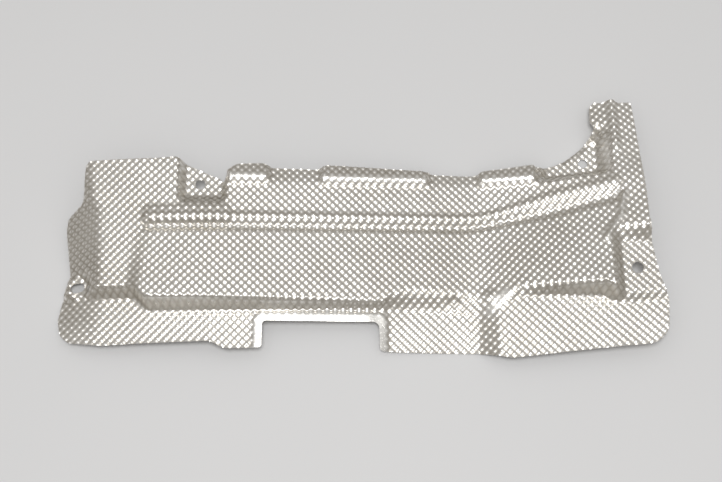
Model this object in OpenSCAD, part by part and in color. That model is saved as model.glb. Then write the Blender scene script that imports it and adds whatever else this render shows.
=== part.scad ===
// Heat shield pressed from one aluminium sheet, lying as it rests on a flat surface.
// X runs along the length, Y from the notched edge to the upper tab, Z up.

/* [Sheet] */
// Length of the shield
body_l = 420; // [340:1:520]
// Width of the shield over the upper tab
body_w = 192; // [155:1:240]
// Thickness of the sheet
sheet_t = 1; // [0.6:0.1:1.6]

/* [Long folds] */
// Height of the left end of the sheet
left_h = 24; // [18:0.5:32]
// Rise from the left end to the crown, degrees
left_rise = 2; // [0:0.5:4]
// Fall from the crown to the valley, degrees
mid_fall = 6.2; // [3:0.1:8]
// Rise from the valley to the right end, degrees
right_rise = 9.5; // [5:0.5:13]
// Rise of the main panel towards the notched edge, degrees
panel_rise = 3; // [0:0.5:6]
// Rise of the right panel towards the notched edge, degrees
right_panel_rise = 8.5; // [4:0.5:12]

/* [Bead] */
// Height of the ridge along the bead
ridge_h = 1.3; // [0:0.1:3]
// Depth of the groove beside the ridge
groove_h = 1.9; // [0:0.1:3]
// Width of the ridge and of the groove
bead_w = 9; // [6:0.5:14]
// Climb of the bead towards the right end, degrees
bead_climb = 11; // [6:0.5:15]

/* [Top flange] */
// Height of the stiffening humps
hump_h = 3; // [1:0.25:5]
// Slope of the flange beyond its bend, degrees
flange_fall = 12; // [4:1:20]
// Slope of the left flange, degrees
left_flange_fall = 31; // [20:1:38]

/* [Notch] */
// Width of the notch
notch_w = 80; // [50:1:110]
// Depth of the notch from the notched edge
notch_d = 19.5; // [12:0.5:26]
// Width of the plain hem round the notch
hem_w = 6; // [4:0.5:9]
// Height of the hem above the sheet
hem_h = 0.8; // [0:0.1:1.5]

/* [Holes] */
// Diameter of the hole in the left tab
tab_hole_d = 7; // [4:0.1:9]
// Diameter of the hole in the inner corner
corner_hole_d = 7; // [4:0.1:9]
// Diameter of the hole in the right end
end_hole_d = 8; // [5:0.1:10]
// Length of the slot in the left flange
slot_l = 10; // [8:0.5:13]
// Width of the slot in the left flange
slot_w = 6.5; // [4:0.1:7.5]

/* [Pads] */
// Height of the pad round the left tab hole
tab_pad_h = 16; // [12:0.5:20]
// Height of the pad round the inner corner hole
corner_pad_h = 2.3; // [2:0.1:6]
// Height of the pad round the right end hole
end_pad_h = 18; // [15:0.5:21]
// Height of the pad round the slot
slot_pad_h = 7; // [5:0.5:9]

/* [Hidden] */
$fn = 48;

// The relief is drawn on a plan of 420 by 192 and stretched to the chosen size
plan_l = 420;
plan_w = 192;
kx = body_l / plan_l;
ky = body_w / plan_w;

// Plan places of the folds
crown_u = 90;
crown_r = 22;
valley_u = 292;
valley_r = 7;
bead_start_u = 59;
bead_end_u = 392;

// Notch, in real sizes
notch_x0 = 142 * kx;
notch_x1 = notch_x0 + notch_w;
edge_y = 5.7 * ky;
notch_top = edge_y + notch_d;
notch_r = 4;

// Hole centres
tab_hole = [96 * kx, 124 * ky];
corner_hole = [370 * kx, 146 * ky];
end_hole = [400 * kx, 61.5 * ky];
slot = [13 * kx, 50 * ky];
slot_turn = 12;

// Height of the notched edge along the plan, and how it rises inwards from there
edge_line = [[0, 9.2], [30, 9.6], [105, 12.3], [140, 11], [215, 6.8], [228, 3], [250, 1.6],
    [268, 1], [285, 1], [291, 1.8], [304, 9], [311, 10], [344, 11.2], [398, 13.3], [420, 14.7]];
edge_tilt = [[0, 0.03], [60, 0.05], [140, 0.06], [215, 0.1], [226, 0.16], [240, 0.09],
    [262, 0.06], [290, 0.1], [304, 0.05], [330, 0.03], [420, 0.02]];

// Line and half width of the wall between the panels and the notched edge
wall_line = [[0, 44], [54, 44], [63, 35.5], [222, 36.5], [232, 40], [245, 41.5], [275, 40],
    [292, 38], [300, 36], [310, 42.5], [320, 46.5], [376, 46.5], [384, 42.5], [394, 40.5],
    [420, 43]];
wall_half = [[0, 3.6], [222, 3.8], [240, 8], [285, 9], [298, 6], [310, 5], [376, 4.3],
    [384, 4.8], [420, 4.2]];

// Left flange: the line it bends from and the share of its slope along the line
crease_line = [[0, 30], [48, 30], [73, 28.5], [105, 26.3], [112, 20.5], [140, 20]];
flange_share = [[5, 0.12], [10, 0.16], [20, 0.31], [30, 0.44], [40, 0.49], [44, 0.86], [48, 1.23],
    [53, 1.33], [60, 1.33], [70, 1.2], [95, 1.02], [106, 1.08], [112, 1.6], [118, 1.6], [125, 1],
    [140, 0.7]];

// Humps along the top flange, as start and end in plan
humps = [[115.5, 145], [181, 258], [294, 334]];

// Outline corners as plan x, plan y and radius
outline = [
    [10, 10.5, 3], [3, 16, 9], [0, 28, 10], [3, 47, 12], [6.5, 60, 10], [2, 92, 16], [3, 101, 5],
    [14.5, 109.5, 6], [15.5, 135, 10], [18, 138.5, 4], [60, 140, 60], [79, 141.5, 5],
    [86, 139, 4], [105, 130, 12], [109.5, 128.5, 1.5], [113, 124, 1.5], [115.5, 132, 3],
    [122, 137, 5], [140, 138.5, 6], [146, 135.8, 3], [178, 135.8, 4], [186, 138.8, 5],
    [252, 137, 6], [262, 135.2, 6], [290, 135.2, 4], [298, 138.2, 5], [331, 141.3, 4],
    [337, 140, 3], [354, 146, 30], [370, 158, 40], [379, 170, 6], [375.5, 175, 2.5],
    [376, 187, 3], [379, 191.3, 3], [385, 190.6, 3], [389, 192, 2], [393, 192, 2],
    [397, 189.4, 2], [405.5, 189.8, 3], [407, 167, 60], [409.2, 118, 80], [409, 96, 20],
    [414.5, 58, 20], [420, 40, 12], [418.5, 10, 17], [370, 5.8, 100], [312, -0.2, 10],
    [290, 4.6, 12]];

function ramp(t, w) = let (s = t / w) s <= -1 ? 0 : s >= 1 ? 1 : 0.5 + s * (0.75 - 0.25 * s * s);
function hinge(t, r) = (t + sqrt(t * t + r * r)) / 2;
function hill(t, w) = abs(t) < w ? (1 + cos(180 * t / w)) / 2 : 0;
function span(t, a, b, w) = ramp(t - a, w) - ramp(t - b, w);
function mix(a, b, k) = a + (b - a) * k;
function line_dist(p, a, b) =
    let (d = b - a, k = max(0, min(1, (p - a) * d / (d * d)))) norm(p - a - d * k);

// Height of the sheet along its length, before any cross feature
function long_h(u) = left_h + tan(left_rise) * (u - 30)
    - (tan(left_rise) + tan(mid_fall)) * hinge(u - crown_u, crown_r)
    + (tan(mid_fall) + tan(right_rise)) * hinge(u - valley_u, valley_r);

// Plan line of the bead, level on the left and climbing beyond the valley
function bead_v(u) = 93 + 0.024 * (u - 95) + tan(bead_climb) * hinge(u - valley_u, 8);

// Plan line of the bend of the top flange
function bend_v(u) = 123.5 + 0.018 * (u - 120);

// Ridge and groove of the bead, wider on the climbing stretch
function bead_h(u, t) = let (w = bead_w * mix(0.5, 0.75, ramp(u - 325, 25)))
    span(u, bead_start_u, bead_end_u, 2) * (ridge_h * hill(t - w, w) - groove_h * hill(t + 0.6 * w, w));

// Raised field between the bead and the left tab
function field_h(u, t) = 1.1 * span(u, bead_start_u, 118, 2) * span(t, 0, 12, 2);

// Humps and low stretches of the top flange
function flange_h(u, v) = let (q = v - bend_v(u),
        on = span(u, 113, 338, 3),
        up = max([for (h = humps) span(u, h[0], h[1], 2.2)]))
    on * (up * (hump_h * ramp(q - 1, 4) - 1.5 * tan(flange_fall) * hinge(q - 4.5, 1.5))
        - (1 - up) * tan(flange_fall) * hinge(q - 1, 1.5));

// Sheet above the wall: left block, main panel, right panel and bead
function upper_h(u, v) = let (t = v - bead_v(u),
        block = 1 - ramp(u - 54 - 0.09 * (v - 48), 6),
        rise = mix(tan(panel_rise), tan(right_panel_rise), ramp(u - 305, 25)),
        panel = rise * hinge(-8 - t, 5) + 0.02 * max(0, t),
        z = long_h(u) + mix(panel, 0.04 * (v - 93), block))
    z + bead_h(u, t) + field_h(u, t) + flange_h(u, v);

// Flat pad round the right end hole
function end_pad(u, v, z) = mix(z, end_pad_h, ramp(u - 386, 5) * (1 - ramp(v - 86, 6.5)));

// Sheet along the notched edge
function lower_h(u, v) = lookup(u, edge_line) + lookup(u, edge_tilt) * (v - 6);

// Panels, wall and edge together
function body_h(u, v) = mix(lower_h(u, v), end_pad(u, v, upper_h(u, v)),
    ramp(v - lookup(u, wall_line), lookup(u, wall_half)));

// Left flange, upper right tab and their folds
function folds_h(u, v) = body_h(u, v)
    - tan(left_flange_fall) * lookup(v, flange_share) * hinge(lookup(v, crease_line) - u, 3)
    - ramp(u - 366, 10) * (0.13 * hinge(v - 120, 8) + 0.1 * norm([u - 392, 4]) * ramp(v - 140, 12));

// Pads round the left tab hole, the inner corner hole and the slot
function pads_h(u, v) = let (
        tab = span(u, 83.5, 113.5, 2.8) * ramp(v - 111.3, 4.8),
        corner = ramp(v - 131 - 0.13 * (u - 340), 4.5) * span(u, 339, 384, 5) * (1 - ramp(v - 167, 7)),
        d = norm([u * kx, v * ky] - slot),
        a = mix(folds_h(u, v), tab_pad_h, tab),
        lip = 1.6 * (1 - ramp(line_dist([u, v], [356, 149], [370, 159.5]) - 1.9, 2.2)),
        b = mix(a, corner_pad_h - lip, corner))
    mix(b, slot_pad_h, 1 - ramp(d - 9, 3.5));

// Small ribs: on the upper tab, the hooked ridge at the right end, the dimple by the wall
function ribs_h(u, v) = let (p = [u, v])
    1.6 * hill(u - 391.5, 5) * ramp(v - 152, 6)
    + 1.5 * hill(min(line_dist(p, [393, 115], [390.5, 99]), line_dist(p, [390.5, 99], [379, 82])), 4)
    - 1.6 * hill(norm([(u - 274) / 1.7, v - 40]), 6)
    + 1.2 * hill(norm([(u - 298) / 1.2, v - 44]), 6);

// Hem round the notch, in real sizes
function hem_rise(x, y) = let (
        dx = max(notch_x0 - x, 0, x - notch_x1),
        dy = max(0, y - notch_top))
    hem_h * (1 - ramp(norm([dx, dy]) - hem_w - 0.4, 0.9));

// Upper face of the sheet, and its lower face straight below at the chosen thickness
function over_z(x, y) = pads_h(x / kx, y / ky) + ribs_h(x / kx, y / ky) + hem_rise(x, y);
function under_z(x, y) = let (
        gx = over_z(x + 0.5, y) - over_z(x - 0.5, y),
        gy = over_z(x, y + 0.5) - over_z(x, y - 0.5))
    over_z(x, y) - sheet_t * sqrt(1 + gx * gx + gy * gy);

// Fills each gap of a list of breaks with equal steps no longer than the given one
function fill(breaks, step) = [for (i = [0:len(breaks) - 2])
    let (a = breaks[i], b = breaks[i + 1], n = max(1, ceil((b - a) / step)))
    for (k = [0:n - 1]) a + (b - a) * k / n, breaks[len(breaks) - 1]];

// Mesh lines: columns follow the folds, rows follow the wall, the bead and the bend
mesh_step = 6;
columns = fill(concat(
    [-4, 15.5, 20.5, 26, 31, 47, 53, 57, 61, 81, 86, 111, 116] * kx,
    [notch_x0 - hem_w - 1.2, notch_x0 - hem_w + 0.6, notch_x0 + 1, 181 * kx],
    [notch_x1 - 1, notch_x1 + hem_w - 0.6, notch_x1 + hem_w + 1.2],
    [258, 286, 292, 304, 311, 334, 339, 378, 389, 394, 424] * kx), mesh_step * kx);
function rows(u) = let (w = lookup(u, wall_line), h = lookup(u, wall_half),
        b = bead_v(u), t = max(bend_v(u), b + 16))
    [-4, 3, 9, 14.5, 20, (notch_top - 0.5) / ky, (notch_top + hem_w - 0.6) / ky,
        max(w - h, (notch_top + hem_w + 1) / ky), w, w + h,
        for (k = [1:7]) mix(w + h, b - 9, k / 7), b - 6, b - 3, b + 0.5, b + 4, b + 8,
        for (k = [1:3]) mix(b + 8, t - 2, k / 3), t + 1, t + 4.5, t + 9,
        for (k = [1:9]) mix(t + 9, 197, k / 9)];

// Lean of the columns that follow the edge of the left block
function lean(u, v) = 0.09 * kx * (v - 48) * hill(u - 57, 25);

// Sheet of the chosen thickness over the mesh, larger than the outline all round
module relief() {
    grid = [for (x = columns) [for (v = rows(x / kx)) [x + lean(x / kx, v), v * ky]]];
    n = len(grid[0]);
    last = len(grid) - 1;
    over = [for (c = grid) for (p = c) [p[0], p[1], over_z(p[0], p[1])]];
    under = [for (p = over) [p[0], p[1], under_z(p[0], p[1])]];
    m = len(over);
    top = [for (i = [0:last - 1]) for (j = [0:n - 2])
        let (a = i * n + j, b = a + 1, c = b + n, d = a + n)
        each abs(over[a][2] - over[c][2]) < abs(over[b][2] - over[d][2])
            ? [[a, b, c], [a, c, d]] : [[a, b, d], [b, c, d]]];
    bottom = [for (f = top) [f[0] + m, f[2] + m, f[1] + m]];
    sides = concat(
        [for (i = [0:last - 1]) let (a = i * n) [a + m, a, a + n, a + n + m]],
        [for (i = [0:last - 1]) let (a = i * n + n - 1) [a + n + m, a + n, a, a + m]],
        [for (j = [0:n - 2]) [j + 1 + m, j + 1, j, j + m]],
        [for (j = [0:n - 2]) let (a = last * n + j) [a + m, a, a + 1, a + 1 + m]]);
    polyhedron(concat(over, under), concat(top, bottom, sides));
}

// One rounded corner of an outline, as points along its arc
function corner_arc(p, q, s, r) = let (
        a = (p - q) / norm(p - q), b = (s - q) / norm(s - q),
        half = acos(a * b) / 2,
        d = min(r / tan(half), 0.45 * norm(p - q), 0.45 * norm(s - q)),
        c = q + (a + b) / norm(a + b) * d / cos(half),
        from = q + a * d - c, to = q + b * d - c,
        turn = atan2(from[0] * to[1] - from[1] * to[0], from * to),
        n = max(1, ceil(abs(turn) / 22)))
    [for (i = [0:n]) let (k = turn * i / n)
        c + [from[0] * cos(k) - from[1] * sin(k), from[0] * sin(k) + from[1] * cos(k)]];
function rounded(c) = let (n = len(c)) [for (i = [0:n - 1])
    let (p = c[(i + n - 1) % n], q = c[i], s = c[(i + 1) % n])
    each corner_arc([p[0], p[1]], [q[0], q[1]], [s[0], s[1]], q[2])];

// Corners of the notch and of the notched edge beside it
notch_corners = [[notch_x1 + 0.6, edge_y, 2.5], [notch_x1, notch_top, notch_r],
    [notch_x0, notch_top, 2.5], [notch_x0, edge_y + 0.8, 2.5], [117 * kx, 6 * ky, 5],
    [106 * kx, 11 * ky, 8], [60 * kx, 9.6 * ky, 60], [32 * kx, 8.2 * ky, 30]];

// Whole outline in real sizes, its low corner, and the lowest point of the sheet along it
rim = rounded(concat([for (c = outline) [c[0] * kx, c[1] * ky, c[2]]], notch_corners));
rim_lo = [min([for (p = rim) p[0]]), min([for (p = rim) p[1]])];
rest_z = min([for (i = [0:len(rim) - 1], k = [0:0.2:0.8])
    let (p = mix(rim[i], rim[(i + 1) % len(rim)], k)) under_z(p[0], p[1])]);

// Straight slot with round ends
module slot_cut() {
    reach = (slot_l - slot_w) / 2;
    translate([slot[0], slot[1], -5]) rotate(slot_turn) {
        for (s = [-1, 1]) translate([s * reach, 0, 0]) cylinder(d = slot_w, h = 60);
        translate([-reach, -slot_w / 2, 0]) cube([2 * reach, slot_w, 60]);
    }
}

module bore(place, d) {
    translate([place[0], place[1], -5]) cylinder(d = d, h = 60);
}

module heat_shield() {
    color([0.76, 0.74, 0.71]) translate([-body_l / 2, -body_w / 2, -rest_z]) difference() {
        resize([body_l, body_w, 0]) translate([-rim_lo[0], -rim_lo[1], 0]) intersection() {
            relief();
            translate([0, 0, -30]) linear_extrude(100) polygon(rim);
        }
        translate([-rim_lo[0], -rim_lo[1], 0]) {
            bore(tab_hole, tab_hole_d);
            bore(corner_hole, corner_hole_d);
            bore(end_hole, end_hole_d);
            slot_cut();
        }
    }
}

heat_shield();
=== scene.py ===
"""Embossed heat shield on a pale table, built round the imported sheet.

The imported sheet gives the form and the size. This script replaces it with the same sheet drawn finely
enough to carry the embossed lattice of domes, and dresses it as handled aluminium.
"""

import sys

import logging
import math
from dataclasses import dataclass, field
from enum import Enum

import bpy
import numpy as np
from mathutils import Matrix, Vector
from mathutils.geometry import delaunay_2d_cdt


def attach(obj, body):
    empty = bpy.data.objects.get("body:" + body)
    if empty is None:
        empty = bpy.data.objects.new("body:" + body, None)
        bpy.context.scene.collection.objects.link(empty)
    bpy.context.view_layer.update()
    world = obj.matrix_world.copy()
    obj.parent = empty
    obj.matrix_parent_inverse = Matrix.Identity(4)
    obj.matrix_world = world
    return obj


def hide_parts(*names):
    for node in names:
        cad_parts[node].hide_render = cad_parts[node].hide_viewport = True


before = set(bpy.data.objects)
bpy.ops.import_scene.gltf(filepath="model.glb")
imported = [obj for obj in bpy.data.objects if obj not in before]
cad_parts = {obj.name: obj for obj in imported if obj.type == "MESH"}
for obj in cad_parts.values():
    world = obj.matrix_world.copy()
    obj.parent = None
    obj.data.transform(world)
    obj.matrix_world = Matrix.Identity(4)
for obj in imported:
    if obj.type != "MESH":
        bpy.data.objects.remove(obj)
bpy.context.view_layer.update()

LOG = logging.getLogger("heat_shield")
MM = 0.001
Array = np.ndarray
Points = list[tuple[float, float]]


# Curves


def ramp(t: Array, half: Array | float) -> Array:
    """Smooth step from 0 to 1.

    Args:
        t: Distance from the middle of the step.
        half: Half the width of the step.

    Returns:
        The step's value for each distance.
    """
    s = np.clip(t / half, -1.0, 1.0)
    return 0.5 + s * (0.75 - 0.25 * s * s)


def hinge(t: Array, radius: float) -> Array:
    """Fold: 0 before the line and t after it, with a round bend between.

    Args:
        t: Distance from the fold line.
        radius: Size of the round bend.

    Returns:
        The height of a fold of slope 1.
    """
    return (t + np.sqrt(t * t + radius * radius)) / 2


def hill(t: Array, half: Array | float) -> Array:
    """Round ridge of height 1.

    Args:
        t: Distance from the crest.
        half: Half the width of the ridge.

    Returns:
        The ridge's height for each distance.
    """
    return np.where(np.abs(t) < half, (1 + np.cos(np.pi * np.clip(t / half, -1, 1))) / 2, 0.0)


def span(t: Array, start: float, end: float, half: float) -> Array:
    """Plateau of height 1 between two steps.

    Args:
        t: Place along the plan.
        start: Middle of the rising step.
        end: Middle of the falling step.
        half: Half the width of each step.

    Returns:
        The plateau's value for each place.
    """
    return ramp(t - start, half) - ramp(t - end, half)


def mix(a: Array | float, b: Array | float, share: Array | float) -> Array:
    """Blend of two values.

    Args:
        a: Value at share 0.
        b: Value at share 1.
        share: How much of b.

    Returns:
        The blended value.
    """
    return a + (b - a) * share


def lookup(t: Array, table: list[tuple[float, float]]) -> Array:
    """Value on a polyline of (place, value) pairs.

    Args:
        t: Places to read.
        table: The pairs in rising order.

    Returns:
        The value at each place.
    """
    return np.interp(t, [p[0] for p in table], [p[1] for p in table])


def line_dist(u: Array, v: Array, a: tuple[float, float], b: tuple[float, float]) -> Array:
    """Distance from each place to a straight stretch.

    Args:
        u: Places along the plan.
        v: Places across the plan.
        a: One end of the stretch.
        b: Other end of the stretch.

    Returns:
        The distances.
    """
    du, dv = b[0] - a[0], b[1] - a[1]
    k = np.clip(((u - a[0]) * du + (v - a[1]) * dv) / (du * du + dv * dv), 0, 1)
    return np.hypot(u - a[0] - du * k, v - a[1] - dv * k)


def slope(degrees: float) -> float:
    """Rise per millimetre of a slope in degrees."""
    return math.tan(math.radians(degrees))


# Relief of the sheet


@dataclass(frozen=True)
class Fastening:
    """A hole in the sheet: centre and size in plan millimetres."""

    name: str
    u: float
    v: float
    width: float
    length: float
    turn: float = 0.0

    def loop(self, step: float) -> Points:
        """Clockwise outline of the hole.

        Args:
            step: Longest distance between two points.

        Returns:
            The outline's points.
        """
        radius = self.width / 2
        reach = (self.length - self.width) / 2
        count = max(16, math.ceil(2 * math.pi * radius / step / 2) * 2)
        turn = math.radians(self.turn)
        points: Points = []
        for i in range(count):
            angle = -2 * math.pi * i / count
            x, y = radius * math.cos(angle), radius * math.sin(angle)
            x += math.copysign(reach, math.cos(angle)) if reach > 0 else 0.0
            points.append((self.u + x * math.cos(turn) - y * math.sin(turn),
                           self.v + x * math.sin(turn) + y * math.cos(turn)))
        return points


@dataclass(frozen=True)
class Relief:
    """Height of the pressed sheet over its plan, in millimetres."""

    left_h: float = 24.0
    left_rise: float = 2.0
    mid_fall: float = 6.2
    right_rise: float = 9.5
    panel_rise: float = 3.0
    right_panel_rise: float = 8.5
    crown: tuple[float, float] = (90.0, 22.0)
    valley: tuple[float, float] = (292.0, 7.0)
    ridge_h: float = 1.3
    groove_h: float = 1.9
    bead_w: float = 9.0
    bead_climb: float = 11.0
    bead_ends: tuple[float, float] = (59.0, 392.0)
    hump_h: float = 3.0
    flange_fall: float = 12.0
    left_flange_fall: float = 31.0
    notch: tuple[float, float, float] = (142.0, 222.0, 25.2)
    hem_w: float = 6.0
    hem_h: float = 0.8
    tab_pad_h: float = 16.0
    corner_pad_h: float = 2.3
    end_pad_h: float = 18.0
    slot_pad_h: float = 7.0
    slot: tuple[float, float] = (13.0, 50.0)
    humps: tuple[tuple[float, float], ...] = ((115.5, 145.0), (181.0, 258.0), (294.0, 334.0))

    EDGE_LINE = [(0, 9.2), (30, 9.6), (105, 12.3), (140, 11), (215, 6.8), (228, 3), (250, 1.6),
                 (268, 1), (285, 1), (291, 1.8), (304, 9), (311, 10), (344, 11.2), (398, 13.3), (420, 14.7)]
    EDGE_TILT = [(0, 0.03), (60, 0.05), (140, 0.06), (215, 0.1), (226, 0.16), (240, 0.09),
                 (262, 0.06), (290, 0.1), (304, 0.05), (330, 0.03), (420, 0.02)]
    WALL_LINE = [(0, 44), (54, 44), (63, 35.5), (222, 36.5), (232, 40), (245, 41.5), (275, 40),
                 (292, 38), (300, 36), (310, 42.5), (320, 46.5), (376, 46.5), (384, 42.5), (394, 40.5),
                 (420, 43)]
    WALL_HALF = [(0, 3.6), (222, 3.8), (240, 8), (285, 9), (298, 6), (310, 5), (376, 4.3),
                 (384, 4.8), (420, 4.2)]
    CREASE_LINE = [(0, 30), (48, 30), (73, 28.5), (105, 26.3), (112, 20.5), (140, 20)]
    FLANGE_SHARE = [(5, 0.12), (10, 0.16), (20, 0.31), (30, 0.44), (40, 0.49), (44, 0.86), (48, 1.23),
                    (53, 1.33), (60, 1.33), (70, 1.2), (95, 1.02), (106, 1.08), (112, 1.6), (118, 1.6),
                    (125, 1), (140, 0.7)]

    def along(self, u: Array) -> Array:
        """Height of the sheet along its length, before any cross feature.

        Args:
            u: Places along the plan.

        Returns:
            The heights.
        """
        rise, fall, climb = slope(self.left_rise), slope(self.mid_fall), slope(self.right_rise)
        return (self.left_h + rise * (u - 30) - (rise + fall) * hinge(u - self.crown[0], self.crown[1])
                + (fall + climb) * hinge(u - self.valley[0], self.valley[1]))

    def bead_line(self, u: Array) -> Array:
        """Plan line of the bead.

        Args:
            u: Places along the plan.

        Returns:
            The bead's place across the plan.
        """
        return 93 + 0.024 * (u - 95) + slope(self.bead_climb) * hinge(u - self.valley[0], 8)

    def bend_line(self, u: Array) -> Array:
        """Plan line of the bend of the top flange.

        Args:
            u: Places along the plan.

        Returns:
            The bend's place across the plan.
        """
        return 123.5 + 0.018 * (u - 120)

    def on_hump(self, u: Array) -> Array:
        """Mask of the stiffening humps.

        Args:
            u: Places along the plan.

        Returns:
            1 on a hump and 0 between humps.
        """
        return np.maximum.reduce([span(u, a, b, 2.2) for a, b in self.humps])

    def bead(self, u: Array, t: Array) -> Array:
        """Ridge and groove of the bead.

        Args:
            u: Places along the plan.
            t: Distance from the bead line.

        Returns:
            The bead's height.
        """
        wide = self.bead_w * mix(0.5, 0.75, ramp(u - 325, 25))
        return span(u, self.bead_ends[0], self.bead_ends[1], 2) * (
            self.ridge_h * hill(t - wide, wide) - self.groove_h * hill(t + 0.6 * wide, wide))

    def flange(self, u: Array, v: Array) -> Array:
        """Humps and low stretches of the top flange.

        Args:
            u: Places along the plan.
            v: Places across the plan.

        Returns:
            The flange's height over the panel.
        """
        q = v - self.bend_line(u)
        up, fall = self.on_hump(u), slope(self.flange_fall)
        raised = self.hump_h * ramp(q - 1, 4) - 1.5 * fall * hinge(q - 4.5, 1.5)
        return span(u, 113, 338, 3) * (up * raised - (1 - up) * fall * hinge(q - 1, 1.5))

    def upper(self, u: Array, v: Array) -> Array:
        """Left block, main panel, right panel and bead.

        Args:
            u: Places along the plan.
            v: Places across the plan.

        Returns:
            The heights above the wall.
        """
        t = v - self.bead_line(u)
        block = 1 - ramp(u - 54 - 0.09 * (v - 48), 6)
        rise = mix(slope(self.panel_rise), slope(self.right_panel_rise), ramp(u - 305, 25))
        panel = rise * hinge(-8 - t, 5) + 0.02 * np.maximum(0, t)
        field_h = 1.1 * span(u, self.bead_ends[0], 118, 2) * span(t, 0, 12, 2)
        z = self.along(u) + mix(panel, 0.04 * (v - 93), block)
        z = z + self.bead(u, t) + field_h + self.flange(u, v)
        return mix(z, self.end_pad_h, ramp(u - 386, 5) * (1 - ramp(v - 86, 6.5)))

    def body(self, u: Array, v: Array) -> Array:
        """Panels, wall and notched edge together.

        Args:
            u: Places along the plan.
            v: Places across the plan.

        Returns:
            The heights.
        """
        low = lookup(u, self.EDGE_LINE) + lookup(u, self.EDGE_TILT) * (v - 6)
        return mix(low, self.upper(u, v), ramp(v - lookup(u, self.WALL_LINE), lookup(u, self.WALL_HALF)))

    def folded(self, u: Array, v: Array) -> Array:
        """Body with the left flange and the upper tab folded.

        Args:
            u: Places along the plan.
            v: Places across the plan.

        Returns:
            The heights.
        """
        fall = slope(self.left_flange_fall) * lookup(v, self.FLANGE_SHARE)
        tab = 0.13 * hinge(v - 120, 8) + 0.1 * np.hypot(u - 392, 4) * ramp(v - 140, 12)
        return self.body(u, v) - fall * hinge(lookup(v, self.CREASE_LINE) - u, 3) - ramp(u - 366, 10) * tab

    def padded(self, u: Array, v: Array) -> Array:
        """Folded body with the flat pads round the holes.

        Args:
            u: Places along the plan.
            v: Places across the plan.

        Returns:
            The heights.
        """
        tab = span(u, 83.5, 113.5, 2.8) * ramp(v - 111.3, 4.8)
        corner = ramp(v - 131 - 0.13 * (u - 340), 4.5) * span(u, 339, 384, 5) * (1 - ramp(v - 167, 7))
        lip = 1.6 * (1 - ramp(line_dist(u, v, (356, 149), (370, 159.5)) - 1.9, 2.2))
        z = mix(self.folded(u, v), self.tab_pad_h, tab)
        z = mix(z, self.corner_pad_h - lip, corner)
        away = np.hypot(u - self.slot[0], v - self.slot[1])
        return mix(z, self.slot_pad_h, 1 - ramp(away - 9, 3.5))

    def hook_dist(self, u: Array, v: Array) -> Array:
        """Distance from the hooked ridge at the right end.

        Args:
            u: Places along the plan.
            v: Places across the plan.

        Returns:
            The distances.
        """
        return np.minimum(line_dist(u, v, (393, 115), (390.5, 99)), line_dist(u, v, (390.5, 99), (379, 82)))

    def ribs(self, u: Array, v: Array) -> Array:
        """Small ribs, the hooked ridge and the dents by the wall.

        Args:
            u: Places along the plan.
            v: Places across the plan.

        Returns:
            Their heights.
        """
        return (1.6 * hill(u - 391.5, 5) * ramp(v - 152, 6) + 1.5 * hill(self.hook_dist(u, v), 4)
                - 1.6 * hill(np.hypot((u - 274) / 1.7, v - 40), 6)
                + 1.2 * hill(np.hypot((u - 298) / 1.2, v - 44), 6))

    def notch_dist(self, u: Array, v: Array) -> Array:
        """Distance outwards from the notch.

        Args:
            u: Places along the plan.
            v: Places across the plan.

        Returns:
            The distances.
        """
        du = np.maximum(np.maximum(self.notch[0] - u, 0), u - self.notch[1])
        return np.hypot(du, np.maximum(0, v - self.notch[2]))

    def on_hem(self, u: Array, v: Array) -> Array:
        """Mask of the plain hem round the notch.

        Args:
            u: Places along the plan.
            v: Places across the plan.

        Returns:
            1 on the hem and 0 away from it.
        """
        return 1 - ramp(self.notch_dist(u, v) - self.hem_w - 0.4, 0.9)

    def height(self, u: Array, v: Array) -> Array:
        """Height of the sheet's upper face.

        Args:
            u: Places along the plan.
            v: Places across the plan.

        Returns:
            The heights in millimetres.
        """
        return self.padded(u, v) + self.ribs(u, v) + self.hem_h * self.on_hem(u, v)

    def gradient(self, u: Array, v: Array, step: float = 0.5) -> tuple[Array, Array]:
        """Slope of the upper face along and across the plan.

        Args:
            u: Places along the plan.
            v: Places across the plan.
            step: Distance to each side over which the slope is taken.

        Returns:
            The two slopes.
        """
        along = (self.height(u + step, v) - self.height(u - step, v)) / (2 * step)
        across = (self.height(u, v + step) - self.height(u, v - step)) / (2 * step)
        return along, across


# Outline


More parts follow.
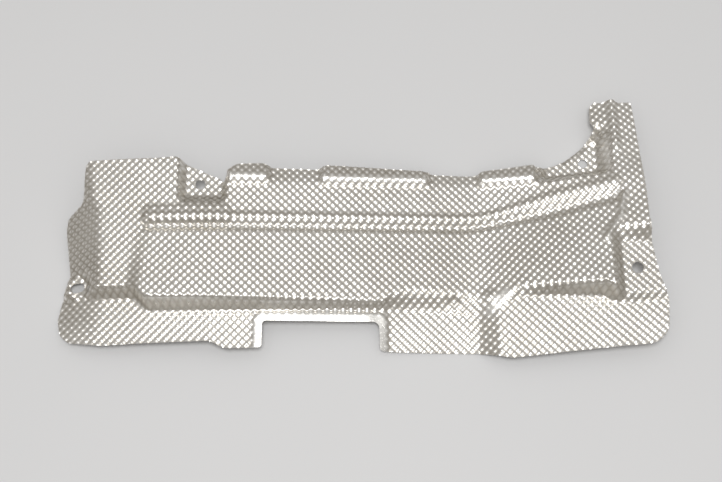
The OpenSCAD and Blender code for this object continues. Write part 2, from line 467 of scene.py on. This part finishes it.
@dataclass(frozen=True)
class Outline:
    """Trimmed edge of the sheet: corners as plan place and radius, in millimetres."""

    corners: tuple[tuple[float, float, float], ...] = (
        (10, 10.5, 3), (3, 16, 9), (0, 28, 10), (3, 47, 12), (6.5, 60, 10), (2, 92, 16), (3, 101, 5),
        (14.5, 109.5, 6), (15.5, 135, 10), (18, 138.5, 4), (60, 140, 60), (79, 141.5, 5),
        (86, 139, 4), (105, 130, 12), (109.5, 128.5, 1.5), (113, 124, 1.5), (115.5, 132, 3),
        (122, 137, 5), (140, 138.5, 6), (146, 135.8, 3), (178, 135.8, 4), (186, 138.8, 5),
        (252, 137, 6), (262, 135.2, 6), (290, 135.2, 4), (298, 138.2, 5), (331, 141.3, 4),
        (337, 140, 3), (354, 146, 30), (370, 158, 40), (379, 170, 6), (375.5, 175, 2.5),
        (376, 187, 3), (379, 191.3, 3), (385, 190.6, 3), (389, 192, 2), (393, 192, 2),
        (397, 189.4, 2), (405.5, 189.8, 3), (407, 167, 60), (409.2, 118, 80), (409, 96, 20),
        (414.5, 58, 20), (420, 40, 12), (418.5, 10, 17), (370, 5.8, 100), (312, -0.2, 10),
        (290, 4.6, 12), (222.6, 5.7, 2.5), (222, 25.2, 4), (142, 25.2, 2.5), (142, 6.5, 2.5),
        (117, 6, 5), (106, 11, 8), (60, 9.6, 60), (32, 8.2, 30))
    same_point: float = 1e-6
    arc_step: float = 8.0

    def corner_arc(self, before: Array, at: Array, after: Array, radius: float) -> list[Array]:
        """Points of one rounded corner.

        Args:
            before: The corner before.
            at: The corner itself.
            after: The corner after.
            radius: The wanted radius.

        Returns:
            Points along the arc.
        """
        to_a, to_b = np.linalg.norm(before - at), np.linalg.norm(after - at)
        a, b = (before - at) / to_a, (after - at) / to_b
        half = math.acos(float(np.clip(a @ b, -1, 1))) / 2
        reach = min(radius / math.tan(half), 0.45 * to_a, 0.45 * to_b)
        centre = at + (a + b) / np.linalg.norm(a + b) * reach / math.cos(half)
        start, end = at + a * reach - centre, at + b * reach - centre
        turn = math.atan2(start[0] * end[1] - start[1] * end[0], float(start @ end))
        count = max(1, math.ceil(abs(math.degrees(turn)) / self.arc_step))
        arc = []
        for i in range(count + 1):
            c, s = math.cos(turn * i / count), math.sin(turn * i / count)
            arc.append(centre + np.array([start[0] * c - start[1] * s, start[0] * s + start[1] * c]))
        return arc

    def rim(self) -> Array:
        """Outline with its corners rounded, clockwise as listed.

        Returns:
            The outline's points, one row each.
        """
        at = [np.array(c[:2], float) for c in self.corners]
        count = len(at)
        points: list[Array] = []
        for i in range(count):
            points += self.corner_arc(at[i - 1], at[i], at[(i + 1) % count], self.corners[i][2])
        return np.array(points)

    def loop(self, step: float) -> Points:
        """Anticlockwise outline with no stretch longer than the step.

        Args:
            step: Longest distance between two points.

        Returns:
            The outline's points.
        """
        rim = self.rim()[::-1]
        points: Points = []
        for a, b in zip(rim, np.roll(rim, -1, axis=0)):
            reach = float(np.linalg.norm(b - a))
            if reach > self.same_point:
                count = math.ceil(reach / step)
                points += [tuple(a + (b - a) * k / count) for k in range(count)]
        return points


def inside(u: Array, v: Array, loop: Points) -> Array:
    """Tells which places lie inside a closed loop.

    Args:
        u: Places along the plan.
        v: Places across the plan.
        loop: The loop's points.

    Returns:
        True for each place inside.
    """
    result = np.zeros(u.shape, bool)
    for (x0, y0), (x1, y1) in zip(loop, loop[1:] + loop[:1]):
        if y0 == y1:
            continue
        crosses = (y0 > v) != (y1 > v)
        result ^= crosses & (u < (x1 - x0) * (v - y0) / (y1 - y0) + x0)
    return result


def loop_dist(u: Array, v: Array, loop: Points) -> Array:
    """Distance from each place to a closed loop.

    Args:
        u: Places along the plan.
        v: Places across the plan.
        loop: The loop's points.

    Returns:
        The distances.
    """
    best = np.full(u.shape, 1e9)
    for a, b in zip(loop, loop[1:] + loop[:1]):
        best = np.minimum(best, line_dist(u, v, a, b))
    return best


# Lattice


@dataclass(frozen=True)
class Lattice:
    """Embossed lattice of domes, in rows that are staggered by half a pitch."""

    pitch: float = 5.5
    turn: float = 1.5
    height: float = 0.95
    origin: tuple[float, float] = (0.0, 0.0)

    def cell(self, u: Array, v: Array) -> tuple[Array, Array]:
        """Place in cell steps along the two diagonals.

        Args:
            u: Places along the plan.
            v: Places across the plan.

        Returns:
            The two diagonal places; domes stand at whole numbers.
        """
        c, s = math.cos(math.radians(self.turn)), math.sin(math.radians(self.turn))
        x, y = u - self.origin[0], v - self.origin[1]
        along, across = x * c + y * s, y * c - x * s
        return (along + across) / self.pitch, (along - across) / self.pitch

    def place(self, a: Array, b: Array) -> tuple[Array, Array]:
        """Plan place of a pair of diagonal steps.

        Args:
            a: Steps along the first diagonal.
            b: Steps along the second diagonal.

        Returns:
            Places along and across the plan.
        """
        along, across = (a + b) * self.pitch / 2, (a - b) * self.pitch / 2
        c, s = math.cos(math.radians(self.turn)), math.sin(math.radians(self.turn))
        return along * c - across * s + self.origin[0], along * s + across * c + self.origin[1]

    def dome(self, u: Array, v: Array) -> Array:
        """Height of the domes from 0 in the grooves to 1 on top.

        Args:
            u: Places along the plan.
            v: Places across the plan.

        Returns:
            The height share.
        """
        a, b = self.cell(u, v)
        return np.abs(np.cos(np.pi * a) * np.cos(np.pi * b))


class SheetFace(Enum):
    """The two faces of the sheet, with the mesh steps per dome of each."""

    UPPER = 4
    LOWER = 3


@dataclass
class FlatMesh:
    """Plan mesh of one face: places, faces and the vertices of each edge loop."""

    u: Array
    v: Array
    faces: list[tuple[int, ...]]
    loops: list[list[int]]


@dataclass(frozen=True)
class Trimmer:
    """Cuts the lattice's own grid to the outline and the holes."""

    outline: Outline
    holes: tuple[Fastening, ...]
    lattice: Lattice
    edge_step: float = 1.2
    margin: float = 0.4
    least_area: float = 1e-4

    def loops(self) -> list[Points]:
        """The outline and then each hole, as closed loops."""
        return [self.outline.loop(self.edge_step)] + [h.loop(0.8) for h in self.holes]

    def solid_at(self, u: Array, v: Array, loops: list[Points]) -> Array:
        """Tells which places lie on the sheet.

        Args:
            u: Places along the plan.
            v: Places across the plan.
            loops: The outline and the holes.

        Returns:
            True on the sheet.
        """
        result = inside(u, v, loops[0])
        for loop in loops[1:]:
            result &= ~inside(u, v, loop)
        return result

    def cut(self, face: SheetFace) -> FlatMesh:
        """Makes the plan mesh of one face.

        Args:
            face: Which face, which sets the fineness.

        Returns:
            The plan mesh.
        """
        steps = face.value
        loops = self.loops()
        box = np.array(loops[0])
        (low_u, low_v), (high_u, high_v) = box.min(axis=0), box.max(axis=0)
        a, b = self.lattice.cell(np.array([low_u, low_u, high_u, high_u]),
                                 np.array([low_v, high_v, low_v, high_v]))
        lo_a, hi_a = math.floor(a.min() * steps) - 1, math.ceil(a.max() * steps) + 1
        lo_b, hi_b = math.floor(b.min() * steps) - 1, math.ceil(b.max() * steps) + 1
        offset = 0.5 if steps % 2 else 0.0
        ia, ib = np.meshgrid(np.arange(lo_a, hi_a + 1), np.arange(lo_b, hi_b + 1), indexing="ij")
        u, v = self.lattice.place((ia + offset) / steps, (ib + offset) / steps)
        boxed = (u > low_u) & (u < high_u) & (v > low_v) & (v < high_v)
        keep = np.zeros(boxed.shape, bool)
        keep[boxed] = self.solid_at(u[boxed], v[boxed], loops)
        dist = np.full(keep.shape, 1e9)
        for loop in loops:
            dist[keep] = np.minimum(dist[keep], loop_dist(u[keep], v[keep], loop))
        keep &= dist > self.margin
        quads = keep[:-1, :-1] & keep[1:, :-1] & keep[1:, 1:] & keep[:-1, 1:]
        return self.join(u, v, keep, quads, loops, steps, offset, (lo_a, lo_b))

    def join(self, u: Array, v: Array, keep: Array, quads: Array, loops: list[Points], steps: int,
             offset: float, low: tuple[int, int]) -> FlatMesh:
        """Joins the grid's quads to the edge loops with a band of triangles.

        Args:
            u: Grid places along the plan.
            v: Grid places across the plan.
            keep: Grid points on the sheet.
            quads: Grid cells that are kept whole.
            loops: The outline and the holes.
            steps: Grid steps per dome.
            offset: Shift of the grid against the domes, in steps.
            low: First grid index along each diagonal.

        Returns:
            The plan mesh.
        """
        number = -np.ones(keep.shape, int)
        number[keep] = np.arange(keep.sum())
        flat_u, flat_v = list(u[keep]), list(v[keep])
        q = np.argwhere(quads)
        corner = [number[q[:, 0] + i, q[:, 1] + j] for i, j in ((0, 0), (0, 1), (1, 1), (1, 0))]
        faces: list[tuple[int, ...]] = list(zip(*(c.tolist() for c in corner)))
        used = np.zeros(keep.shape, int)
        for i, j in ((0, 0), (1, 0), (1, 1), (0, 1)):
            used[i:used.shape[0] - 1 + i, j:used.shape[1] - 1 + j] += quads
        band = keep & (used < 4)
        band_ids = number[band]
        edges = []
        for i, j, di, dj in ((0, 0, 1, 0), (0, 0, 0, 1)):
            first = np.pad(quads, 1)
            side = (first[1:-1, :-1] ^ first[1:-1, 1:]) if di else (first[:-1, 1:-1] ^ first[1:, 1:-1])
            for p in np.argwhere(side):
                edges.append((number[p[0], p[1]], number[p[0] + di, p[1] + dj]))
        loop_ids: list[list[int]] = []
        for loop in loops:
            start = len(flat_u)
            flat_u += [p[0] for p in loop]
            flat_v += [p[1] for p in loop]
            ids = list(range(start, start + len(loop)))
            loop_ids.append(ids)
            edges += list(zip(ids, ids[1:] + ids[:1]))
        ids = list(band_ids) + [i for loop in loop_ids for i in loop]
        local = {int(n): k for k, n in enumerate(ids)}
        points = [Vector((flat_u[n], flat_v[n])) for n in ids]
        made = delaunay_2d_cdt(points, [(local[int(a)], local[int(b)]) for a, b in edges], [], 0, 1e-6)
        out_u, out_v = np.array([p.x for p in made[0]]), np.array([p.y for p in made[0]])
        back = [ids[orig[0]] if orig else -1 for orig in made[3]]
        tri = np.array([f for f in made[2]])
        cu, cv = out_u[tri].mean(axis=1), out_v[tri].mean(axis=1)
        good = self.solid_at(cu, cv, loops)
        u1, u2 = (out_u[tri[:, k]] - out_u[tri[:, 0]] for k in (1, 2))
        v1, v2 = (out_v[tri[:, k]] - out_v[tri[:, 0]] for k in (1, 2))
        good &= np.abs(u1 * v2 - u2 * v1) / 2 > self.least_area
        a, b = self.lattice.cell(cu, cv)
        ga = np.floor(a * steps - offset).astype(int) - low[0]
        gb = np.floor(b * steps - offset).astype(int) - low[1]
        ga, gb = np.clip(ga, 0, quads.shape[0] - 1), np.clip(gb, 0, quads.shape[1] - 1)
        good &= ~quads[ga, gb]
        faces += [tuple(int(back[k]) for k in t) for t in tri[good]]
        return FlatMesh(np.array(flat_u), np.array(flat_v), faces, loop_ids)


# Materials


class NodeBuilder:
    """Short hand for adding and joining shader nodes."""

    def __init__(self, tree: bpy.types.NodeTree) -> None:
        """Keeps the tree to build in.

        Args:
            tree: The node tree.
        """
        self.tree = tree

    def add(self, kind: str, **values: object) -> bpy.types.Node:
        """Adds a node and sets its properties.

        Args:
            kind: The node's type name.
            values: Properties to set on the node.

        Returns:
            The new node.
        """
        node = self.tree.nodes.new(kind)
        for name, value in values.items():
            setattr(node, name, value)
        return node

    def link(self, source: bpy.types.NodeSocket, target: bpy.types.NodeSocket) -> None:
        """Joins two sockets.

        Args:
            source: Output socket.
            target: Input socket.
        """
        self.tree.links.new(source, target)

    def math(self, operation: str, a: object, b: object = 0.0, clamp: bool = False) -> bpy.types.NodeSocket:
        """Adds a math node.

        Args:
            operation: The node's operation.
            a: First socket or number.
            b: Second socket or number.
            clamp: Whether the result is held between 0 and 1.

        Returns:
            The node's output.
        """
        node = self.add("ShaderNodeMath", operation=operation, use_clamp=clamp)
        for slot, value in zip(node.inputs, (a, b)):
            if isinstance(value, (int, float)):
                slot.default_value = value
            else:
                self.link(value, slot)
        return node.outputs[0]

    def noise(self, scale: float, detail: float, vector: bpy.types.NodeSocket, rough: float = 0.55,
              ) -> bpy.types.NodeSocket:
        """Adds a noise texture.

        Args:
            scale: Repeats per metre.
            detail: Octaves.
            vector: Place to read at.
            rough: Share of the fine octaves.

        Returns:
            The noise value.
        """
        node = self.add("ShaderNodeTexNoise")
        node.inputs["Scale"].default_value = scale
        node.inputs["Detail"].default_value = detail
        node.inputs["Roughness"].default_value = rough
        self.link(vector, node.inputs["Vector"])
        return node.outputs["Fac"]

    def range(self, value: bpy.types.NodeSocket, low: float, high: float, to_low: float, to_high: float,
              ) -> bpy.types.NodeSocket:
        """Maps a value from one range to another, held at the ends.

        Args:
            value: The value to map.
            low: Start of its range.
            high: End of its range.
            to_low: Result at the start.
            to_high: Result at the end.

        Returns:
            The mapped value.
        """
        node = self.add("ShaderNodeMapRange", clamp=True)
        for slot, number in zip(list(node.inputs)[1:5], (low, high, to_low, to_high)):
            slot.default_value = number
        self.link(value, node.inputs[0])
        return node.outputs[0]

    def blend(self, share: bpy.types.NodeSocket, a: object, b: object) -> bpy.types.NodeSocket:
        """Mixes two colours.

        Args:
            share: How much of the second.
            a: First colour or socket.
            b: Second colour or socket.

        Returns:
            The mixed colour.
        """
        node = self.add("ShaderNodeMix", data_type="RGBA")
        self.link(share, node.inputs[0])
        for slot, value in ((node.inputs[6], a), (node.inputs[7], b)):
            if isinstance(value, tuple):
                slot.default_value = (*value, 1.0)
            else:
                self.link(value, slot)
        return node.outputs[2]


@dataclass(frozen=True)
class GrooveShadeAndGrime:
    """Painted shade in the grooves between the domes, with a dull film of grime that settles there, as a
    shader node group.
    """

    name: str = "groove_grime"

    def build(self) -> bpy.types.NodeTree:
        """Makes the group once and returns it."""
        if self.name in bpy.data.node_groups:
            return bpy.data.node_groups[self.name]
        group = bpy.data.node_groups.new(self.name, "ShaderNodeTree")
        face = group.interface
        face.new_socket(name="Place", in_out="INPUT", socket_type="NodeSocketVector")
        for label, value in (("Groove", 0.0), ("Amount", 0.5), ("Patch Scale", 30.0)):
            face.new_socket(name=label, in_out="INPUT", socket_type="NodeSocketFloat").default_value = value
        face.new_socket(name="Mask", in_out="OUTPUT", socket_type="NodeSocketFloat")
        make = NodeBuilder(group)
        into = make.add("NodeGroupInput")
        out = make.add("NodeGroupOutput")
        patch = make.add("ShaderNodeTexNoise")
        patch.inputs["Detail"].default_value = 4.0
        make.link(into.outputs["Place"], patch.inputs["Vector"])
        make.link(into.outputs["Patch Scale"], patch.inputs["Scale"])
        uneven = make.range(patch.outputs["Fac"], 0.3, 0.7, 0.45, 1.0)
        deep = make.math("POWER", into.outputs["Groove"], 1.6)
        amount = make.math("MULTIPLY", deep, into.outputs["Amount"])
        make.link(make.math("MULTIPLY", amount, uneven, clamp=True), out.inputs["Mask"])
        return group


@dataclass(frozen=True)
class HandledEffect:
    """Fine scratches, rubbed spots and small waves of handled sheet, as a shader node group."""

    name: str = "handled_sheet"

    def build(self) -> bpy.types.NodeTree:
        """Makes the group once and returns it."""
        if self.name in bpy.data.node_groups:
            return bpy.data.node_groups[self.name]
        group = bpy.data.node_groups.new(self.name, "ShaderNodeTree")
        face = group.interface
        face.new_socket(name="Place", in_out="INPUT", socket_type="NodeSocketVector")
        for label, value in (("Fine Scale", 2600.0), ("Wave Scale", 260.0), ("Scratch", 0.5)):
            face.new_socket(name=label, in_out="INPUT", socket_type="NodeSocketFloat").default_value = value
        for label in ("Height", "Rub"):
            face.new_socket(name=label, in_out="OUTPUT", socket_type="NodeSocketFloat")
        make = NodeBuilder(group)
        into = make.add("NodeGroupInput")
        out = make.add("NodeGroupOutput")
        fine = make.add("ShaderNodeTexNoise")
        fine.inputs["Detail"].default_value = 3.0
        wave = make.add("ShaderNodeTexNoise")
        wave.inputs["Detail"].default_value = 2.0
        for node, label in ((fine, "Fine Scale"), (wave, "Wave Scale")):
            make.link(into.outputs["Place"], node.inputs["Vector"])
            make.link(into.outputs[label], node.inputs["Scale"])
        stretch = make.add("ShaderNodeMapping")
        stretch.inputs["Rotation"].default_value = (0.0, 0.0, 0.5)
        stretch.inputs["Scale"].default_value = (1.0, 14.0, 1.0)
        make.link(into.outputs["Place"], stretch.inputs["Vector"])
        lines = make.noise(180.0, 4.0, stretch.outputs[0], 0.7)
        scratch = make.math("MULTIPLY", make.range(lines, 0.62, 0.68, 0.0, 1.0), into.outputs["Scratch"])
        fine_part = make.math("MULTIPLY", fine.outputs["Fac"], 0.35)
        low_part = make.math("ADD", fine_part, wave.outputs["Fac"])
        make.link(make.math("SUBTRACT", low_part, scratch), out.inputs["Height"])
        rub = make.math("ADD", make.range(wave.outputs["Fac"], 0.4, 0.75, 0.0, 1.0), scratch, clamp=True)
        make.link(rub, out.inputs["Rub"])
        return group


@dataclass(frozen=True)
class EmbossedAluminium:
    """Finish of the sheet: rolled aluminium, bright on the domes and duller between them, where painted
    shade and some grime darken the grooves.
    """

    clean: tuple[float, float, float] = (0.86, 0.84, 0.80)
    # Dark brown of the grooves: painted shade, with some grime.
    shade_and_grime_colour: tuple[float, float, float] = (0.40, 0.36, 0.30)
    # Painted sheen: yellowish colour that stands in for the warm reflection on the lower right strip.
    warm_sheen_colour: tuple[float, float, float] = (0.86, 0.80, 0.62)
    rough_clean: float = 0.26
    rough_dull: float = 0.46

    def material(self) -> bpy.types.Material:
        """Builds the material."""
        mat = bpy.data.materials.new("embossed_aluminium")
        mat.use_nodes = True
        tree = mat.node_tree
        shader = tree.nodes["Principled BSDF"]
        make = NodeBuilder(tree)
        place = make.add("ShaderNodeTexCoord").outputs["Object"]
        groove = make.add("ShaderNodeAttribute", attribute_name="groove").outputs["Fac"]
        # The heat attribute holds the share of painted yellowish sheen.
        tint = make.add("ShaderNodeAttribute", attribute_name="heat").outputs["Fac"]
        # Painted shade in the grooves between the domes, with some grime, as one mask from the groove
        # share.
        shade_and_grime = make.add("ShaderNodeGroup", node_tree=GrooveShadeAndGrime().build())
        make.link(place, shade_and_grime.inputs["Place"])
        make.link(groove, shade_and_grime.inputs["Groove"])
        shade_and_grime.inputs["Amount"].default_value = 0.75
        shade_and_grime.inputs["Patch Scale"].default_value = 24.0
        handled = make.add("ShaderNodeGroup", node_tree=HandledEffect().build())
        make.link(place, handled.inputs["Place"])
        # Painted yellowish sheen mixed into the clean metal colour.
        warm = make.blend(tint, self.clean, self.warm_sheen_colour)
        # Painted groove shade and grime darken the base colour between the domes.
        colour = make.blend(shade_and_grime.outputs["Mask"], warm, self.shade_and_grime_colour)
        make.link(colour, shader.inputs["Base Color"])
        rough = make.range(shade_and_grime.outputs["Mask"], 0.0, 1.0, self.rough_clean, self.rough_dull)
        rubbed = make.math("MULTIPLY", handled.outputs["Rub"], 0.10)
        make.link(make.math("ADD", rough, rubbed), shader.inputs["Roughness"])
        bump = make.add("ShaderNodeBump")
        bump.inputs["Strength"].default_value = 0.25
        bump.inputs["Distance"].default_value = 0.0003
        make.link(handled.outputs["Height"], bump.inputs["Height"])
        make.link(bump.outputs["Normal"], shader.inputs["Normal"])
        shader.inputs["Metallic"].default_value = 1.0
        return mat


@dataclass(frozen=True)
class TableTop:
    """Finish of the table: pale matt board."""

    colour: tuple[float, float, float] = (0.74, 0.74, 0.745)

    def material(self) -> bpy.types.Material:
        """Builds the material."""
        mat = bpy.data.materials.new("pale_table")
        mat.use_nodes = True
        shader = mat.node_tree.nodes["Principled BSDF"]
        make = NodeBuilder(mat.node_tree)
        place = make.add("ShaderNodeTexCoord").outputs["Object"]
        cloud = make.range(make.noise(3.0, 2.0, place), 0.3, 0.7, 0.0, 1.0)
        shade = tuple(c * 0.985 for c in self.colour)
        make.link(make.blend(cloud, shade, self.colour), shader.inputs["Base Color"])
        shader.inputs["Roughness"].default_value = 0.75
        return mat


# Shield


@dataclass
class HeatShield:
    """The pressed and trimmed sheet."""

    length: float = 420.0
    width: float = 192.0
    cad_sheet: float = 1.0
    skin: float = 0.45
    sink: float = 0.65
    worn_level: float = 0.45
    steepest: float = 1.5
    relief: Relief = field(default_factory=Relief)
    outline: Outline = field(default_factory=Outline)
    lattice: Lattice = field(default_factory=Lattice)
    holes: tuple[Fastening, ...] = (
        Fastening("tab_hole", 96, 124, 7, 7),
        Fastening("corner_hole", 370, 146, 7, 7),
        Fastening("end_hole", 400, 61.5, 8, 8),
        Fastening("flange_slot", 13, 50, 6.5, 10, 12),
    )
    finish: EmbossedAluminium = field(default_factory=EmbossedAluminium)

    def rest_shift(self) -> tuple[float, float, float]:
        """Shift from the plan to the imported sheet's own frame, in millimetres."""
        rim = self.outline.rim()
        low = rim.min(axis=0)
        ends = np.roll(rim, -1, axis=0)
        at = np.concatenate([rim + (ends - rim) * k for k in (0, 0.2, 0.4, 0.6, 0.8)])
        gu, gv = self.relief.gradient(at[:, 0], at[:, 1])
        under = self.relief.height(at[:, 0], at[:, 1]) - self.cad_sheet * np.sqrt(1 + gu**2 + gv**2)
        return -low[0] - self.length / 2, -low[1] - self.width / 2, -float(under.min())

    def worn(self, u: Array, v: Array) -> Array:
        """How flat the lattice is pressed, from 0 for full domes to 1 for none.

        Args:
            u: Places along the plan.
            v: Places across the plan.

        Returns:
            The wear share.
        """
        q = v - self.relief.bend_line(u)
        crest = 0.6 * self.relief.on_hump(u) * hill(q - 4, 5)
        hem = 1 - ramp(self.relief.notch_dist(u, v) - self.relief.hem_w + 0.3, 0.9)
        hook = 0.5 * hill(self.relief.hook_dist(u, v), 5)
        facet = 0.7 * hill(line_dist(u, v, (298, 33), (309, 46)), 6)
        return np.clip(np.maximum.reduce([crest, hem, hook, facet]), 0, 1)

    def waves(self, u: Array, v: Array) -> Array:
        """Slight waves of a thin handled sheet.

        Args:
            u: Places along the plan.
            v: Places across the plan.

        Returns:
            Their heights in millimetres.
        """
        rng = np.random.default_rng(7)
        total = np.zeros(np.shape(u))
        for _ in range(14):
            angle, length = rng.uniform(0, math.pi), rng.uniform(14, 46)
            phase = rng.uniform(0, 2 * math.pi)
            total = total + 0.0011 * length * np.sin(
                2 * math.pi * (u * math.cos(angle) + v * math.sin(angle)) / length + phase)
        return total

    def face_height(self, u: Array, v: Array, face: SheetFace) -> tuple[Array, Array]:
        """Height and groove depth of one face with its domes.

        Args:
            u: Places along the plan.
            v: Places across the plan.
            face: Which face.

        Returns:
            The heights, and the groove share from 0 on a dome to 1 in a groove.
        """
        gu, gv = self.relief.gradient(u, v)
        along_normal = np.sqrt(1 + gu**2 + gv**2)
        left = 1 - self.worn(u, v)
        dome = self.lattice.dome(u, v)
        depth = self.sink + (self.skin if face is SheetFace.LOWER else 0.0)
        level = self.lattice.height * (dome * left + self.worn_level * (1 - left)) - depth
        z = self.relief.height(u, v) + self.waves(u, v) + level * np.minimum(along_normal, self.steepest)
        return z, (1 - dome) * left

    def painted_sheen_share(self, u: Array, v: Array) -> Array:
        """Where a painted yellowish sheen tints the sheet.

        Args:
            u: Places along the plan.
            v: Places across the plan.

        Returns:
            The tint share.
        """
        return 0.9 * ramp(u - 300, 12) * (1 - ramp(u - 395, 14)) * (1 - ramp(v - 15 - 0.05 * (u - 300), 7))

    def build(self) -> bpy.types.Object:
        """Builds the sheet as one closed mesh and dresses it.

        Returns:
            The finished piece.
        """
        trimmer = Trimmer(self.outline, self.holes, self.lattice)
        top, under = trimmer.cut(SheetFace.UPPER), trimmer.cut(SheetFace.LOWER)
        shift = self.rest_shift()
        points, grooves, heat = [], [], []
        for mesh, face in ((top, SheetFace.UPPER), (under, SheetFace.LOWER)):
            z, groove = self.face_height(mesh.u, mesh.v, face)
            points.append(np.stack([mesh.u + shift[0], mesh.v + shift[1], z + shift[2]], axis=1) * MM)
            grooves.append(groove)
            heat.append(self.painted_sheen_share(mesh.u, mesh.v))
        first = len(top.u)
        faces = list(top.faces) + [tuple(first + i for i in reversed(f)) for f in under.faces]
        sharp: set[tuple[int, int]] = set()
        for upper, lower in zip(top.loops, under.loops):
            low = [i + first for i in lower]
            for a, b, c, d in zip(low, low[1:] + low[:1], upper[1:] + upper[:1], upper):
                faces.append((a, b, c, d))
                sharp.update({(min(a, b), max(a, b)), (min(c, d), max(c, d))})
        data = bpy.data.meshes.new("heat_shield_sheet")
        data.from_pydata(np.concatenate(points).tolist(), [], faces)
        data.update()
        # The heat layer holds the share of painted yellowish sheen.
        for name, values in (("groove", np.concatenate(grooves)), ("heat", np.concatenate(heat))):
            layer = data.attributes.new(name, "FLOAT", "POINT")
            layer.data.foreach_set("value", values.astype(np.float32))
        data.shade_smooth()
        ends = np.zeros(len(data.edges) * 2, int)
        data.edges.foreach_get("vertices", ends)
        ends = np.sort(ends.reshape(-1, 2), axis=1)
        mark = np.array([(int(a), int(b)) in sharp for a, b in ends])
        data.attributes.new("sharp_edge", "BOOLEAN", "EDGE").data.foreach_set("value", mark)
        piece = bpy.data.objects.new("embossed_sheet", data)
        bpy.context.collection.objects.link(piece)
        data.materials.append(self.finish.material())
        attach(piece, "root")
        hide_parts("heat_shield")
        return piece


# Studio


@dataclass(frozen=True)
class Studio:
    """Table, lamp, surroundings and camera."""

    lens: float = 59.83
    camera_at: tuple[float, float, float] = (-0.0007, -0.2996, 0.8)
    camera_tilt: float = 20.0
    lamp_at: tuple[float, float, float] = (0.0, -0.30, 1.6)
    lamp_size: float = 0.5
    lamp_power: float = 11.0
    sky: float = 0.62
    horizon: float = 0.30

    def table(self) -> bpy.types.Object:
        """Lays the table top under the sheet."""
        bpy.ops.mesh.primitive_plane_add(size=6.0, location=(0.0, 0.0, 0.0))
        table = bpy.context.object
        table.name = "table_top"
        table.data.materials.append(TableTop().material())
        return table

    def lamp(self) -> bpy.types.Object:
        """Hangs the soft lamp above the table."""
        data = bpy.data.lights.new("soft_lamp", "AREA")
        data.shape = "DISK"
        data.size = self.lamp_size
        data.energy = self.lamp_power
        lamp = bpy.data.objects.new("soft_lamp", data)
        lamp.location = self.lamp_at
        lamp.rotation_euler = (-Vector(self.lamp_at)).to_track_quat("-Z", "Y").to_euler()
        bpy.context.collection.objects.link(lamp)
        return lamp

    def surroundings(self) -> None:
        """Makes the pale room: bright overhead and warmer and darker near the horizon."""
        world = bpy.data.worlds.new("room")
        world.use_nodes = True
        bpy.context.scene.world = world
        make = NodeBuilder(world.node_tree)
        back = world.node_tree.nodes["Background"]
        up = make.add("ShaderNodeSeparateXYZ")
        make.link(make.add("ShaderNodeTexCoord").outputs["Generated"], up.inputs[0])
        share = make.range(up.outputs["Z"], 0.25, 0.95, 0.0, 1.0)
        low = tuple(self.horizon * c for c in (1.0, 0.93, 0.83))
        high = tuple(self.sky * c for c in (1.0, 1.0, 1.0))
        make.link(make.blend(share, low, high), back.inputs["Color"])

    def camera(self) -> bpy.types.Object:
        """Sets the camera at the photograph's viewing angle."""
        data = bpy.data.cameras.new("camera")
        data.lens = self.lens
        data.sensor_width = 36.0
        camera = bpy.data.objects.new("camera", data)
        camera.location = self.camera_at
        camera.rotation_euler = (math.radians(self.camera_tilt), 0.0, 0.0)
        bpy.context.collection.objects.link(camera)
        bpy.context.scene.camera = camera
        return camera

    def build(self) -> None:
        """Sets the whole studio up."""
        self.camera()
        self.table()
        self.lamp()
        self.surroundings()
        bpy.context.scene.view_settings.view_transform = "Standard"


def main() -> None:
    """Builds the shield and the studio, and logs each piece."""
    logging.basicConfig(level=logging.INFO, format="%(name)s: %(message)s", stream=sys.stdout)
    piece = HeatShield().build()
    corners = sum(len(p.vertices) - 2 for p in piece.data.polygons)
    LOG.info("%s: %d points, %d triangles", piece.name, len(piece.data.vertices), corners)
    Studio().build()
    LOG.info("studio ready")


if __name__ == "__main__":
    main()
